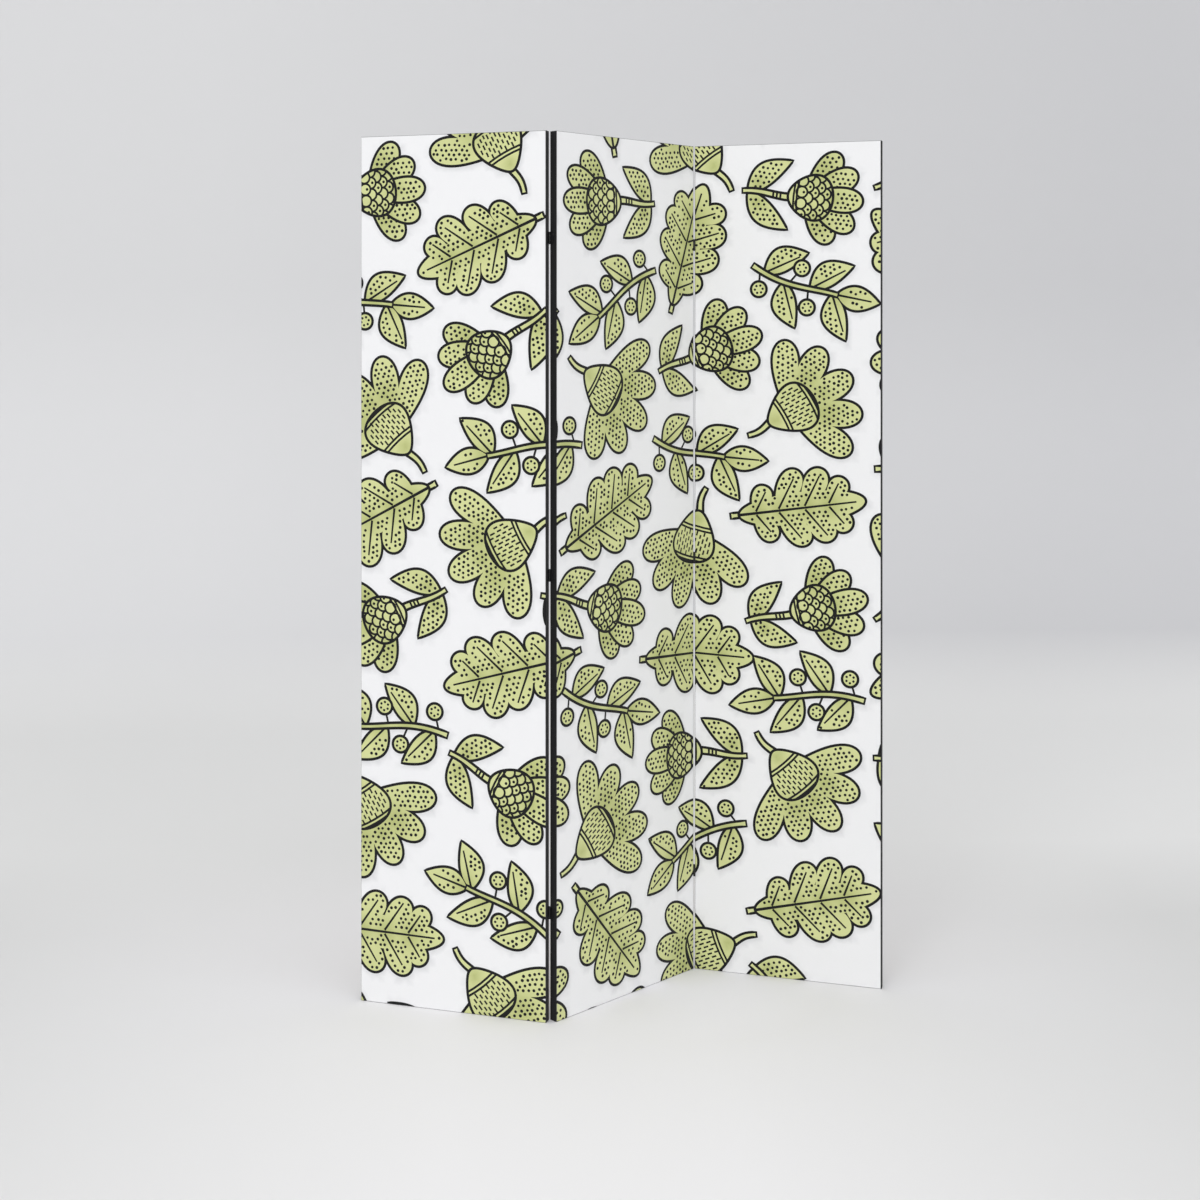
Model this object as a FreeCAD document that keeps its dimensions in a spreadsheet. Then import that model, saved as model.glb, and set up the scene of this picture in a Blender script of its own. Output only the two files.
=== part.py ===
"""Folding screen: three canvas panels on stretcher frames, joined by three butt hinges at each of two folds.

The row frame has +Z up, its origin on the floor under the middle panel's centre and +X along the screen.
The printed faces look towards -Y. Each piece is drawn in its own panel's frame, where x runs across the
panel, y runs from the printed face to the back and z runs up from the floor, and is then placed with it.
"""

import FreeCAD, Part
import math
import os
import Sketcher
from FreeCAD import Placement, Rotation, Vector

os.makedirs("parts", exist_ok=True)
document = FreeCAD.newDocument("FoldingScreen")

# Driving sizes, in millimetres and degrees
driving_sizes = {
    # The panel over its canvas, and the cloth
    "panel_height": 1800,
    "panel_width": 404,
    "canvas_thickness": 0.4,
    "hem_width": 30,
    # The stretcher bars: a raised bead at the outer edge carries the cloth, and the rest slopes away from it
    "bar_depth": 18,
    "bar_width": 38,
    "bead_width": 6,
    "bevel_drop": 3,
    # The mitred corner's tongue, and the glue space on each side of a tongue or tenon
    "tongue_thickness": 6,
    "glue_gap": 0.1,
    # The cross rails
    "lower_rail_height": 600,
    "upper_rail_height": 1200,
    "cross_rail_width": 34,
    "cross_rail_depth": 12,
    "tenon_length": 12,
    "tenon_thickness": 6,
    "tenon_shoulder": 4,
    # The hinges
    "hinge_inset": 216,
    "hinge_height": 25.5,
    "leaf_width": 13,
    "leaf_thickness": 1,
    "leaf_gap": 0.4,
    "leaf_corner": 1.5,
    "pin_radius": 1,
    "pin_clearance": 0.05,
    "seam_width": 0.15,
    "corner_clearance": 0.15,
    "knuckle_clearance": 0.2,
    "screw_hole_radius": 1.4,
    "screw_spacing": 14,
    "screw_setback": 7.5,
    # How far a cut runs past the piece that it cuts
    "overrun": 2,
    # The pose: how far each fold is from straight, and how far the middle panel is turned from the X axis
    "fold_angle": 60,
    "middle_turn": 40.9,
}

sheet = document.addObject("Spreadsheet::Sheet", "Sizes")
for row, (alias, number) in enumerate(driving_sizes.items(), start=1):
    sheet.set(f"A{row}", alias)
    sheet.set(f"B{row}", str(number))
    sheet.setAlias(f"B{row}", alias)
document.recompute()

# Sizes that follow from the driving ones
following_sizes = {
    "frame_width": "Sizes.panel_width - 2 * Sizes.canvas_thickness",
    "frame_height": "Sizes.panel_height - 2 * Sizes.canvas_thickness",
    "panel_depth": "Sizes.bar_depth + 2 * Sizes.canvas_thickness",
    "opening_width": "Fits.frame_width - 2 * Sizes.bar_width",
    "tongue_slot": "Sizes.tongue_thickness + 2 * Sizes.glue_gap",
    "tenon_width": "Sizes.cross_rail_width - 2 * Sizes.tenon_shoulder",
    "cross_rail_back": "Sizes.bar_depth / 2",
    "cross_rail_middle": "Fits.cross_rail_back - Sizes.cross_rail_depth / 2",
    "fold_gap": "2 * Sizes.leaf_thickness + Sizes.leaf_gap",
    "bore_radius": "Sizes.pin_radius + Sizes.pin_clearance",
    "barrel_radius": "Fits.bore_radius + Sizes.leaf_thickness",
    "pin_standoff": "sqrt((Fits.barrel_radius + Sizes.corner_clearance)^2 - (Fits.fold_gap / 2)^2)",
    "knuckle_height": "Sizes.hinge_height / 3",
    "notch_radius": "Fits.barrel_radius + Sizes.knuckle_clearance",
    "bottom_hinge": "Sizes.hinge_inset",
    "centre_hinge": "Sizes.panel_height / 2",
    "top_hinge": "Sizes.panel_height - Sizes.hinge_inset",
}

fits = document.addObject("App::VarSet", "Fits")
for name in following_sizes:
    fits.addProperty("App::PropertyFloat", name)
for name, expression in following_sizes.items():
    fits.setExpression(name, expression)
document.recompute()


def require(good, message):
    """Stops the build where a feature hasn't done what it is for."""
    if not good:
        raise RuntimeError(message)


# Sketch helpers. Every place and size in a sketch is an expression on the sheet.


def sketch_on(body, role, offset=None):
    """An empty sketch on one of the body's own origin planes, moved along the plane's normal by offset."""
    plane = next(feature for feature in body.Origin.OriginFeatures if feature.Role == role)
    sketch = body.newObject("Sketcher::SketchObject", "Outline")
    sketch.AttachmentSupport = (plane, "")
    sketch.MapMode = "FlatFace"
    if offset:
        sketch.setExpression("AttachmentOffset.Base.z", offset)
    return sketch


def place(sketch, direction, geometry, point, expression):
    """Holds a point of the sketch at a signed distance from the sketch's origin."""
    guess = 1.0
    index = sketch.addConstraint(Sketcher.Constraint(direction, -1, 1, geometry, point, guess))
    sketch.setExpression(f"Constraints[{index}]", expression)


def polygon(sketch, corners):
    """A closed outline through corners, each a pair of expressions for its place in the sketch."""
    count = len(corners)
    first = sketch.GeometryCount
    turns = [2 * math.pi * number / count for number in range(count + 1)]
    guesses = [Vector(math.cos(turn), math.sin(turn), 0) for turn in turns]
    for start, end in zip(guesses, guesses[1:]):
        sketch.addGeometry(Part.LineSegment(start, end))
    for number, (across, up) in enumerate(corners):
        line = first + number
        line_before = first + (number - 1) % count
        sketch.addConstraint(Sketcher.Constraint("Coincident", line, 1, line_before, 2))
        place(sketch, "DistanceX", line, 1, across)
        place(sketch, "DistanceY", line, 1, up)


def rectangle(sketch, left, bottom, right, top):
    """An upright rectangle between two opposite corners, given as expressions."""
    polygon(sketch, [(left, bottom), (right, bottom), (right, top), (left, top)])


def circle(sketch, across, up, radius):
    """A circle with its centre and radius given as expressions."""
    guess = 1.0
    ring = sketch.addGeometry(Part.Circle(Vector(guess, guess, 0), Vector(0, 0, 1), guess))
    place(sketch, "DistanceX", ring, 3, across)
    place(sketch, "DistanceY", ring, 3, up)
    index = sketch.addConstraint(Sketcher.Constraint("Radius", ring, guess))
    sketch.setExpression(f"Constraints[{index}]", radius)


# Feature helpers


def new_body(label):
    """An empty body whose label names its piece."""
    body = document.addObject("PartDesign::Body", "Body")
    body.Label = label
    return body


def pad(body, sketch, length, both_ways=True):
    """Adds the sketch's outline as material, half of it on each side of the sketch or all along its normal."""
    feature = body.newObject("PartDesign::Pad", "Pad")
    feature.Profile = sketch
    feature.setExpression("Length", length)
    feature.Midplane = both_ways
    document.recompute()
    require(feature.Shape.Volume > 0, f"{body.Label}: a pad added nothing")
    return feature


def pocket(body, sketch, length, both_ways=True, along_normal=False):
    """Cuts the sketch's outline out of the body, and makes sure that it has removed material."""
    volume_before = body.Tip.Shape.Volume
    feature = body.newObject("PartDesign::Pocket", "Pocket")
    feature.Profile = sketch
    feature.setExpression("Length", length)
    feature.Midplane = both_ways
    feature.Reversed = along_normal
    document.recompute()
    require(feature.Shape.Volume < volume_before, f"{body.Label}: a pocket cut nothing")
    return feature


# Where each panel stands. The outer panels are turned about the hinge pins of their folds.

panel_names = ["left", "middle", "right"]
stile_sides = {"left": -1, "right": 1}
# Each fold joins an end of the middle panel to an outer panel. Its knuckles are behind the panels (1) or in
# front of them (-1).
fold_ends = {"left": -1, "right": 1}
fold_faces = {"left": 1, "right": -1}
hinge_places = ["bottom", "centre", "top"]


def pin_line(fold):
    """The fold's pin axis in the middle panel's frame."""
    across = fold_ends[fold] * (sheet.panel_width + fits.fold_gap) / 2
    behind = fold_faces[fold] * (fits.panel_depth / 2 + fits.pin_standoff)
    return Vector(across, behind, 0)


def outer_panel_placement(fold):
    """The outer panel laid out straight beside the middle one, then folded about the pin axis."""
    upright = Vector(0, 0, 1)
    straight = Vector(fold_ends[fold] * (sheet.panel_width + fits.fold_gap), 0, 0)
    folded = Placement(Vector(), Rotation(upright, -sheet.fold_angle), pin_line(fold))
    return panel_placements["middle"] * folded * Placement(straight, Rotation())


panel_placements = {"middle": Placement(Vector(), Rotation(Vector(0, 0, 1), sheet.middle_turn))}
for fold in fold_ends:
    panel_placements[fold] = outer_panel_placement(fold)


# Stretcher bars. Stiles and rails have one section and meet in mitred bridle joints: the rail's tongue lies
# in the stile's slot.


def bar_section(outer, inward):
    """The bar's section as (across, depth) pairs: outer is its outer edge, inward the way to its inner edge."""
    inner = f"{outer} + {inward} * Sizes.bar_width"
    bead = f"{outer} + {inward} * Sizes.bead_width"
    front = "-Sizes.bar_depth / 2"
    back = "Sizes.bar_depth / 2"
    return [
        (outer, front),
        (bead, front),
        (inner, f"{front} + Sizes.bevel_drop"),
        (inner, back),
        (outer, back),
    ]


def corner_places(side):
    """Inner and outer corners of the two frame corners on one side, as expressions for x and z."""
    outer_x = f"{side} * Fits.frame_width / 2"
    inner_x = f"{side} * Fits.opening_width / 2"
    low = "Sizes.canvas_thickness"
    high = "Sizes.canvas_thickness + Fits.frame_height"
    return [
        (outer_x, inner_x, low, f"{low} + Sizes.bar_width"),
        (outer_x, inner_x, high, f"{high} - Sizes.bar_width"),
    ]


def make_stile(panel, side_name):
    side = stile_sides[side_name]
    body = new_body(f"{panel}_panel_{side_name}_stile")
    section = sketch_on(body, "XY_Plane", "Sizes.canvas_thickness")
    polygon(section, bar_section(f"{side} * Fits.frame_width / 2", -side))
    pad(body, section, "Fits.frame_height", both_ways=False)
    mitres = sketch_on(body, "XZ_Plane")
    slots = sketch_on(body, "XZ_Plane")
    for outer_x, inner_x, outer_z, inner_z in corner_places(side):
        polygon(mitres, [(outer_x, outer_z), (inner_x, outer_z), (inner_x, inner_z)])
        polygon(slots, [(outer_x, outer_z), (inner_x, outer_z), (inner_x, inner_z), (outer_x, inner_z)])
    pocket(body, mitres, "2 * Sizes.bar_depth")
    pocket(body, slots, "Fits.tongue_slot")
    mortises = sketch_on(body, "XZ_Plane", "-Fits.cross_rail_middle")
    inner_edge = f"{side} * (Fits.opening_width / 2 - Sizes.overrun)"
    bottom_of_mortise = f"{side} * (Fits.opening_width / 2 + Sizes.tenon_length + Sizes.glue_gap)"
    for rail_name in ("lower", "upper"):
        half = "(Fits.tenon_width / 2 + Sizes.glue_gap)"
        low = f"Sizes.{rail_name}_rail_height - {half}"
        high = f"Sizes.{rail_name}_rail_height + {half}"
        rectangle(mortises, inner_edge, low, bottom_of_mortise, high)
    pocket(body, mortises, "Sizes.tenon_thickness + 2 * Sizes.glue_gap")
    return body


def make_rail(panel, height_name):
    inward = {"bottom": 1, "top": -1}[height_name]
    outer = {
        "bottom": "Sizes.canvas_thickness",
        "top": "Sizes.canvas_thickness + Fits.frame_height",
    }[height_name]
    body = new_body(f"{panel}_panel_{height_name}_rail")
    section = sketch_on(body, "YZ_Plane")
    polygon(section, [(depth, up) for up, depth in bar_section(outer, inward)])
    pad(body, section, "Fits.frame_width")
    # The mitres are cut in front of the tongue and behind it, so that the tongue keeps its full length
    for layer in (-1, 1):
        mitres = sketch_on(body, "XZ_Plane", f"{layer} * Sizes.tongue_thickness / 2")
        for side in stile_sides.values():
            outer_x, inner_x, outer_z, inner_z = corner_places(side)[0 if inward > 0 else 1]
            polygon(mitres, [(outer_x, outer_z), (outer_x, inner_z), (inner_x, inner_z)])
        pocket(body, mitres, "Sizes.bar_depth", both_ways=False, along_normal=layer > 0)
    return body


def make_cross_rail(panel, rail_name):
    body = new_body(f"{panel}_panel_{rail_name}_cross_rail")
    middle = f"Sizes.{rail_name}_rail_height"
    bar = sketch_on(body, "XZ_Plane", "-Fits.cross_rail_middle")
    half_width = "Sizes.cross_rail_width / 2"
    half_length = "Fits.opening_width / 2"
    rectangle(bar, f"-{half_length}", f"{middle} - {half_width}", half_length, f"{middle} + {half_width}")
    pad(body, bar, "Sizes.cross_rail_depth")
    tenons = sketch_on(body, "XZ_Plane", "-Fits.cross_rail_middle")
    half_tenon = "Fits.tenon_width / 2"
    reach = "(Fits.opening_width / 2 + Sizes.tenon_length)"
    rectangle(tenons, f"-{reach}", f"{middle} - {half_tenon}", reach, f"{middle} + {half_tenon}")
    pad(body, tenons, "Sizes.tenon_thickness")
    return body


# Canvas: one sheet, stretched over the front, wrapped round all four edges and turned over onto the back


def make_canvas(panel):
    body = new_body(f"{panel}_panel_canvas")
    outside = sketch_on(body, "XZ_Plane")
    rectangle(outside, "-Sizes.panel_width / 2", "0", "Sizes.panel_width / 2", "Sizes.panel_height")
    pad(body, outside, "Fits.panel_depth")
    frame_space = sketch_on(body, "XZ_Plane")
    half_frame = "Fits.frame_width / 2"
    frame_top = "Sizes.canvas_thickness + Fits.frame_height"
    rectangle(frame_space, f"-{half_frame}", "Sizes.canvas_thickness", half_frame, frame_top)
    pocket(body, frame_space, "Sizes.bar_depth")
    window = sketch_on(body, "XZ_Plane")
    half_window = "(Sizes.panel_width / 2 - Sizes.hem_width)"
    window_top = "Sizes.panel_height - Sizes.hem_width"
    rectangle(window, f"-{half_window}", "Sizes.hem_width", half_window, window_top)
    pocket(body, window, "Fits.panel_depth", both_ways=False)
    return body


# Hinges. A leaf is a strip whose edge is rolled round the pin. The outer panel's leaf has the middle knuckle,
# the middle panel's leaf has the other two and holds the pin.


def make_leaf(label, end, face, place_name, knuckles):
    """A leaf on a panel's end, with its knuckles at the face. knuckles holds the thirds that stay: -1, 0, 1."""
    body = new_body(label)
    middle = f"Fits.{place_name}_hinge"

    def across(out):
        """The expression for x at a distance out from the panel's end."""
        return f"{end} * (Sizes.panel_width / 2 + {out})"

    def behind(out):
        """The expression for y at a distance out from the face that carries the knuckles."""
        return f"{face} * (Fits.panel_depth / 2 + {out})"

    pin_x = across("Fits.fold_gap / 2")
    pin_y = behind("Fits.pin_standoff")
    plate = sketch_on(body, "XY_Plane", middle)
    rectangle(plate, across("0"), behind("-Sizes.leaf_width"), across("Sizes.leaf_thickness"), pin_y)
    pad(body, plate, "Sizes.hinge_height")
    roll = sketch_on(body, "XY_Plane", middle)
    circle(roll, pin_x, pin_y, "Fits.barrel_radius")
    pad(body, roll, "Sizes.hinge_height")
    bore = sketch_on(body, "XY_Plane", middle)
    circle(bore, pin_x, pin_y, "Fits.bore_radius")
    pocket(body, bore, "2 * Sizes.hinge_height")
    # The seam where the rolled edge comes back to the plate
    seam = sketch_on(body, "XY_Plane", middle)
    seam_edge = across("Sizes.leaf_thickness + Sizes.seam_width")
    seam_foot = behind("Fits.pin_standoff - Fits.barrel_radius - Sizes.overrun")
    rectangle(seam, across("Sizes.leaf_thickness"), seam_foot, seam_edge, pin_y)
    pocket(body, seam, "2 * Sizes.hinge_height")
    for third in (-1, 0, 1):
        if third in knuckles:
            continue
        notch_middle = f"{middle} + {third} * Fits.knuckle_height"
        notch = sketch_on(body, "XY_Plane", notch_middle)
        circle(notch, pin_x, pin_y, "Fits.notch_radius")
        pocket(body, notch, "Fits.knuckle_height + 2 * Sizes.knuckle_clearance")
    round_corners(body, end, face)
    drill_screw_holes(body, end, face, middle)
    return body


def round_corners(body, end, face):
    """Rounds the leaf's two free corners, whose edges run through the plate's thickness."""
    plate = body.Tip
    free_edge = face * (fits.panel_depth / 2 - sheet.leaf_width)
    corners = []
    for number, edge in enumerate(plate.Shape.Edges, start=1):
        at_free_edge = all(math.isclose(vertex.Y, free_edge, abs_tol=1e-6) for vertex in edge.Vertexes)
        if at_free_edge and math.isclose(edge.Length, sheet.leaf_thickness, rel_tol=1e-6):
            corners.append(f"Edge{number}")
    require(len(corners) == 2, f"{body.Label}: its free corners weren't found")
    fillet = body.newObject("PartDesign::Fillet", "Fillet")
    fillet.Base = (plate, corners)
    fillet.setExpression("Radius", "Sizes.leaf_corner")
    document.recompute()


def drill_screw_holes(body, end, face, middle):
    """Two screw holes through the leaf's plate."""
    holes = sketch_on(body, "YZ_Plane", f"{end} * (Sizes.panel_width / 2 + Sizes.leaf_thickness)")
    behind = f"{face} * (Fits.panel_depth / 2 - Sizes.screw_setback)"
    for side in (-1, 1):
        circle(holes, behind, f"{middle} + {side} * Sizes.screw_spacing / 2", "Sizes.screw_hole_radius")
    pocket(body, holes, "Sizes.leaf_thickness + Sizes.overrun", both_ways=False, along_normal=end < 0)


def make_pin(fold, place_name):
    body = new_body(f"{fold}_fold_{place_name}_pin")
    sketch = sketch_on(body, "XY_Plane", f"Fits.{place_name}_hinge")
    end, face = fold_ends[fold], fold_faces[fold]
    pin_x = f"{end} * (Sizes.panel_width + Fits.fold_gap) / 2"
    pin_y = f"{face} * (Fits.panel_depth / 2 + Fits.pin_standoff)"
    circle(sketch, pin_x, pin_y, "Sizes.pin_radius")
    pad(body, sketch, "Sizes.hinge_height")
    return body


# Assembly

nodes = []


def stand(piece, panel):
    """Puts a piece drawn in a panel's frame where that panel stands."""
    piece.Placement = panel_placements[panel] * piece.Placement
    nodes.append(piece)


for panel in panel_names:
    stand(make_canvas(panel), panel)
    for side_name in stile_sides:
        stand(make_stile(panel, side_name), panel)
    for height_name in ("bottom", "top"):
        stand(make_rail(panel, height_name), panel)
    for rail_name in ("lower", "upper"):
        stand(make_cross_rail(panel, rail_name), panel)

for fold, face in fold_faces.items():
    for place_name in hinge_places:
        name = f"{fold}_fold_{place_name}"
        stand(make_leaf(f"{name}_outer_leaf", -fold_ends[fold], face, place_name, [0]), fold)
        stand(make_leaf(f"{name}_inner_leaf", fold_ends[fold], face, place_name, [-1, 1]), "middle")
        stand(make_pin(fold, place_name), "middle")

document.recompute()
for item in document.Objects:
    require(not {"Invalid", "Error"} & set(item.State), f"{item.Label} wasn't built: {item.State}")
for node in nodes:
    require(not node.Shape.isNull() and node.Shape.isValid(), f"{node.Label} isn't a valid shape")
for node in nodes:
    node.Shape.exportStep(f"parts/{node.Label}.step")
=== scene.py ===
"""Folding screen: three printed canvas panels on pine stretcher frames, joined by small black hinges."""

import math
import random

import bpy
import numpy as np
from mathutils import Matrix, Vector
from mathutils.geometry import delaunay_2d_cdt


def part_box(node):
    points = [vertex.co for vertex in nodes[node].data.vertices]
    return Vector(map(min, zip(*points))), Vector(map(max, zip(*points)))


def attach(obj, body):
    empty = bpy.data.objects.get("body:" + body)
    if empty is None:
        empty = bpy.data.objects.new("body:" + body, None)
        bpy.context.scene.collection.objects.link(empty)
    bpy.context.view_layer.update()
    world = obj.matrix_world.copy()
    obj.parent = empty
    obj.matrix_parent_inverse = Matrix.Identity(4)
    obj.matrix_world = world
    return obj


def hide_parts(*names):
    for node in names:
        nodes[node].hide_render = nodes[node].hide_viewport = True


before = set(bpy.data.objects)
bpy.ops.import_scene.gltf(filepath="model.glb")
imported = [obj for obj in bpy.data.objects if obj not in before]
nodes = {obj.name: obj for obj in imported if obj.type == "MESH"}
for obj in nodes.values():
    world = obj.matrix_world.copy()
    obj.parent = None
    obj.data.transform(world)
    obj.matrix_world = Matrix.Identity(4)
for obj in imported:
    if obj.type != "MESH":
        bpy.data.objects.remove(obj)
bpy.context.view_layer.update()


# Stretcher frames. Each panel hangs on four planed pine bars, mitred and bridled into each other at the corners and
# glued, with two cross rails between the stiles. The bars are left bare: only the back of the screen shows them.

panels = ("left", "middle", "right")


def swatch(red, green, blue):
    """A colour as its sample card shows it, 0 to 255, as the linear value that a shader takes."""
    return [*(((c / 255 + 0.055) / 1.055) ** 2.4 if c > 10 else c / 3295 for c in (red, green, blue)), 1.0]


def fit(tree, kind, inlets=None, **choices):
    """Adds a node to a tree. Inlets are named or numbered, and hold a value or another node's socket."""
    made = tree.nodes.new(kind)
    for name, choice in choices.items():
        setattr(made, name, choice)
    for name, value in (inlets or {}).items():
        if isinstance(value, bpy.types.NodeSocket):
            tree.links.new(value, made.inputs[name])
        else:
            made.inputs[name].default_value = value
    return made


def get(tree, kind, inlets=None, **choices):
    """Adds a node as fit does, and gives its first outlet."""
    return fit(tree, kind, inlets, **choices).outputs[0]


def work(tree, operation, *values):
    """A maths node's result."""
    return get(tree, "ShaderNodeMath", dict(enumerate(values)), operation=operation)


def times(tree, value, by):
    return work(tree, "MULTIPLY", value, by)


def plus(tree, value, more):
    return work(tree, "ADD", value, more)


def tint(tree, share, under, over, blend="MIX"):
    """One colour laid over another by a share from 0 to 1. Inlets 6 and 7 of the node are its two colours."""
    mix = fit(tree, "ShaderNodeMix", {0: share, 6: under, 7: over}, data_type="RGBA", blend_type=blend)
    return mix.outputs[2]


def level(tree, value, low, high, new_low=0.0, new_high=1.0):
    """A value spread from one range to another, and held inside it. A range may run downwards."""
    return get(tree, "ShaderNodeMapRange", {0: value, 1: low, 2: high, 3: new_low, 4: new_high})


def noise(tree, place, scale, detail):
    return get(tree, "ShaderNodeTexNoise", {"Vector": place, "Scale": scale, "Detail": detail})


def drawn_out(tree, place, along):
    """A place with its third way shortened, so that what is drawn by it comes out long that way."""
    return get(tree, "ShaderNodeVectorMath", {0: place, 1: (1.0, 1.0, along)}, operation="MULTIPLY")


def node_group(name, inlets, outlets, kind="ShaderNodeTree"):
    """An empty node group with named sockets, and its two end nodes."""
    tree = bpy.data.node_groups.new(name, kind)
    for label, socket_kind, value in inlets:
        socket = tree.interface.new_socket(label, in_out="INPUT", socket_type=f"NodeSocket{socket_kind}")
        if value is not None:
            socket.default_value = value
    for label, socket_kind in outlets:
        tree.interface.new_socket(label, in_out="OUTPUT", socket_type=f"NodeSocket{socket_kind}")
    return tree, tree.nodes.new("NodeGroupInput").outputs, tree.nodes.new("NodeGroupOutput").inputs


def finish_coat(name, **values):
    """A material and its shader, with the constant values set on the shader's own sockets."""
    material = bpy.data.materials.new(name)
    material.use_nodes = True
    shader = material.node_tree.nodes["Principled BSDF"]
    for label, value in values.items():
        shader.inputs[label.replace("_", " ")].default_value = value
    return material, material.node_tree, shader


def relief(tree, shader, height, depth):
    """Feeds a height to the shader as a bump of a depth in metres."""
    bump = fit(tree, "ShaderNodeBump", {"Strength": 1.0, "Distance": depth, "Height": height})
    tree.links.new(bump.outputs[0], shader.inputs["Normal"])


pale_pine = swatch(226, 198, 152)
dark_pine = swatch(184, 138, 86)
knot_brown = swatch(122, 82, 48)
ring_pitch = 0.0042
ring_pitch_at_scale_one = 0.314
knot_edge = (0.085, 0.055)
pine_relief = 0.00012

grain, given, wanted = node_group(
    "pine grain",
    [("Along", "Vector", None), ("Pale", "Color", pale_pine), ("Dark", "Color", dark_pine)],
    [("Color", "Color"), ("Roughness", "Float"), ("Height", "Float")],
)
slow = drawn_out(grain, given["Along"], 0.14)
drift = noise(grain, slow, 9.0, 2.0)
off_the_heart = get(grain, "ShaderNodeVectorMath", {0: slow, 1: (0.02, 0.035, 0.0)}, operation="ADD")
rings = fit(
    grain,
    "ShaderNodeTexWave",
    {
        "Vector": off_the_heart,
        "Scale": ring_pitch_at_scale_one / ring_pitch,
        "Distortion": 7.0,
        "Detail": 2.0,
        "Detail Scale": 0.12,
        "Detail Roughness": 0.5,
    },
    wave_type="RINGS",
    rings_direction="Z",
    wave_profile="SAW",
).outputs[1]
fibre = noise(grain, drawn_out(grain, given["Along"], 0.02), 1100.0, 3.0)
branches = {"Vector": drawn_out(grain, given["Along"], 0.42), "Scale": 8.0}
knot = level(grain, get(grain, "ShaderNodeTexVoronoi", branches), *knot_edge)
late_wood = times(grain, level(grain, rings, 0.35, 1.0), 0.75)
streak = times(grain, level(grain, fibre, 0.4, 0.75), 0.35)
dark_share = times(grain, plus(grain, late_wood, streak), level(grain, drift, 0.3, 0.7, 0.45, 1.0))
wood = tint(grain, dark_share, given["Pale"], given["Dark"])
grain.links.new(tint(grain, knot, wood, knot_brown), wanted["Color"])
grain.links.new(level(grain, fibre, 0.2, 0.8, 0.5, 0.68), wanted["Roughness"])
grain.links.new(plus(grain, times(grain, fibre, 0.6), late_wood), wanted["Height"])


def panel_pose(name):
    """Where a panel stands: its foot's middle, with x along its width and y to its back. Also its three sizes."""
    corners = np.array([v.co for v in nodes[f"{name}_panel_canvas"].data.vertices])
    along = np.linalg.eigh(np.cov(corners[:, :2].T))[1][:, 1]
    along = along * np.sign(along[0])
    turned = np.stack([corners[:, :2] @ along, corners[:, :2] @ (-along[1], along[0]), corners[:, 2]], 1)
    low, high = turned.min(0), turned.max(0)
    turn = Matrix.Rotation(math.atan2(along[1], along[0]), 4, "Z")
    foot = turn @ Vector(((low[0] + high[0]) / 2, (low[1] + high[1]) / 2, low[2]))
    return Matrix.Translation(foot) @ turn, high - low


# The three panels are alike.
poses = {name: panel_pose(name)[0] for name in panels}
width, depth, height = panel_pose("middle")[1]


def pine(name, pose, grain_lies_along):
    """Bare pine whose grain runs up a panel or across it."""
    material, tree, shader = finish_coat(name, Specular_IOR_Level=0.35)
    turn = pose.to_3x3().inverted()
    if grain_lies_along == "width":
        turn = Matrix.Rotation(math.pi / 2, 3, "Y") @ turn
    place = fit(tree, "ShaderNodeTexCoord").outputs["Object"]
    along = get(tree, "ShaderNodeMapping", {"Vector": place, "Rotation": turn.to_euler()})
    sawn = fit(tree, "ShaderNodeGroup", {"Along": along}, node_tree=grain).outputs
    tree.links.new(sawn["Color"], shader.inputs["Base Color"])
    tree.links.new(sawn["Roughness"], shader.inputs["Roughness"])
    relief(tree, shader, sawn["Height"], pine_relief)
    return material


for panel in panels:
    upright = pine(f"pine_upright_{panel}", poses[panel], "height")
    across = pine(f"pine_across_{panel}", poses[panel], "width")
    for bar in ("left_stile", "right_stile"):
        nodes[f"{panel}_panel_{bar}"].material_slots[0].material = upright
    for bar in ("bottom_rail", "top_rail", "lower_cross_rail", "upper_cross_rail"):
        nodes[f"{panel}_panel_{bar}"].material_slots[0].material = across


# Print. The three canvases carry one drawing that runs on from panel to panel: leaves, seed heads and tulips in
# olive ink with black pen lines on white. It is drawn here in millimetres, as plane outlines in printing order.

print_height = height * 1000
pen = 5.0
fine_pen = 3.9
vein_pen = (4.3, 3.0)
dash_pen = 3.3
dash_length = (7.5, 10.0)
dash_gap = 5.0
dash_pitch = 7.2
dash_stagger = 6.5
dash_inset = 4.0
dot = 2.8
dot_pitch = 10.0
dot_row_pitch = 0.87
dot_looseness = 0.16
dot_inset = 6.0
dot_clearance = 5.2
scale_dot = 2.7
berry_radius = 15.0
berry_pip = 2.4

# What a face shows, as shares of olive, of black and of unprinted cloth.
PAPER, OLIVE, BLACK, RAW = (0, 0, 0), (1, 0, 0), (0, 1, 0), (0, 0, 1)


def grown(outline, by):
    """An outline moved outwards. Outlines are anticlockwise complex numbers, x + y i."""
    along = np.roll(outline, -1) - np.roll(outline, 1)
    return outline - 1j * by * along / np.maximum(np.abs(along), 1e-9)


def placed(outline, at, turn=0.0):
    return at + outline * np.exp(1j * math.radians(turn))


def lobe(length, breadth, belly=0.55, steps=44):
    """A rounded leaf lobe from its root at 0 along x. Belly above 0.5 puts its widest place past the middle."""
    a = np.arange(steps) * 2 * math.pi / steps
    x = (1 - np.cos(a)) / 2
    return length * x - 1j * breadth / 2 * np.sin(a) * (1 + 2 * (belly - 0.5) * (2 * x - 1))


def leaf(length, breadth, bow=0.0, steps=44):
    """A pointed leaf from its root at 0, bent sideways by bow."""
    t = np.linspace(0, 1, steps // 2 + 1)
    half = breadth / 2 * np.sin(math.pi * t**0.85) ** 0.9
    line = length * t + 1j * bow * np.sin(math.pi * t)
    return np.concatenate([line - 1j * half, (line + 1j * half)[-2:0:-1]])


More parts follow.
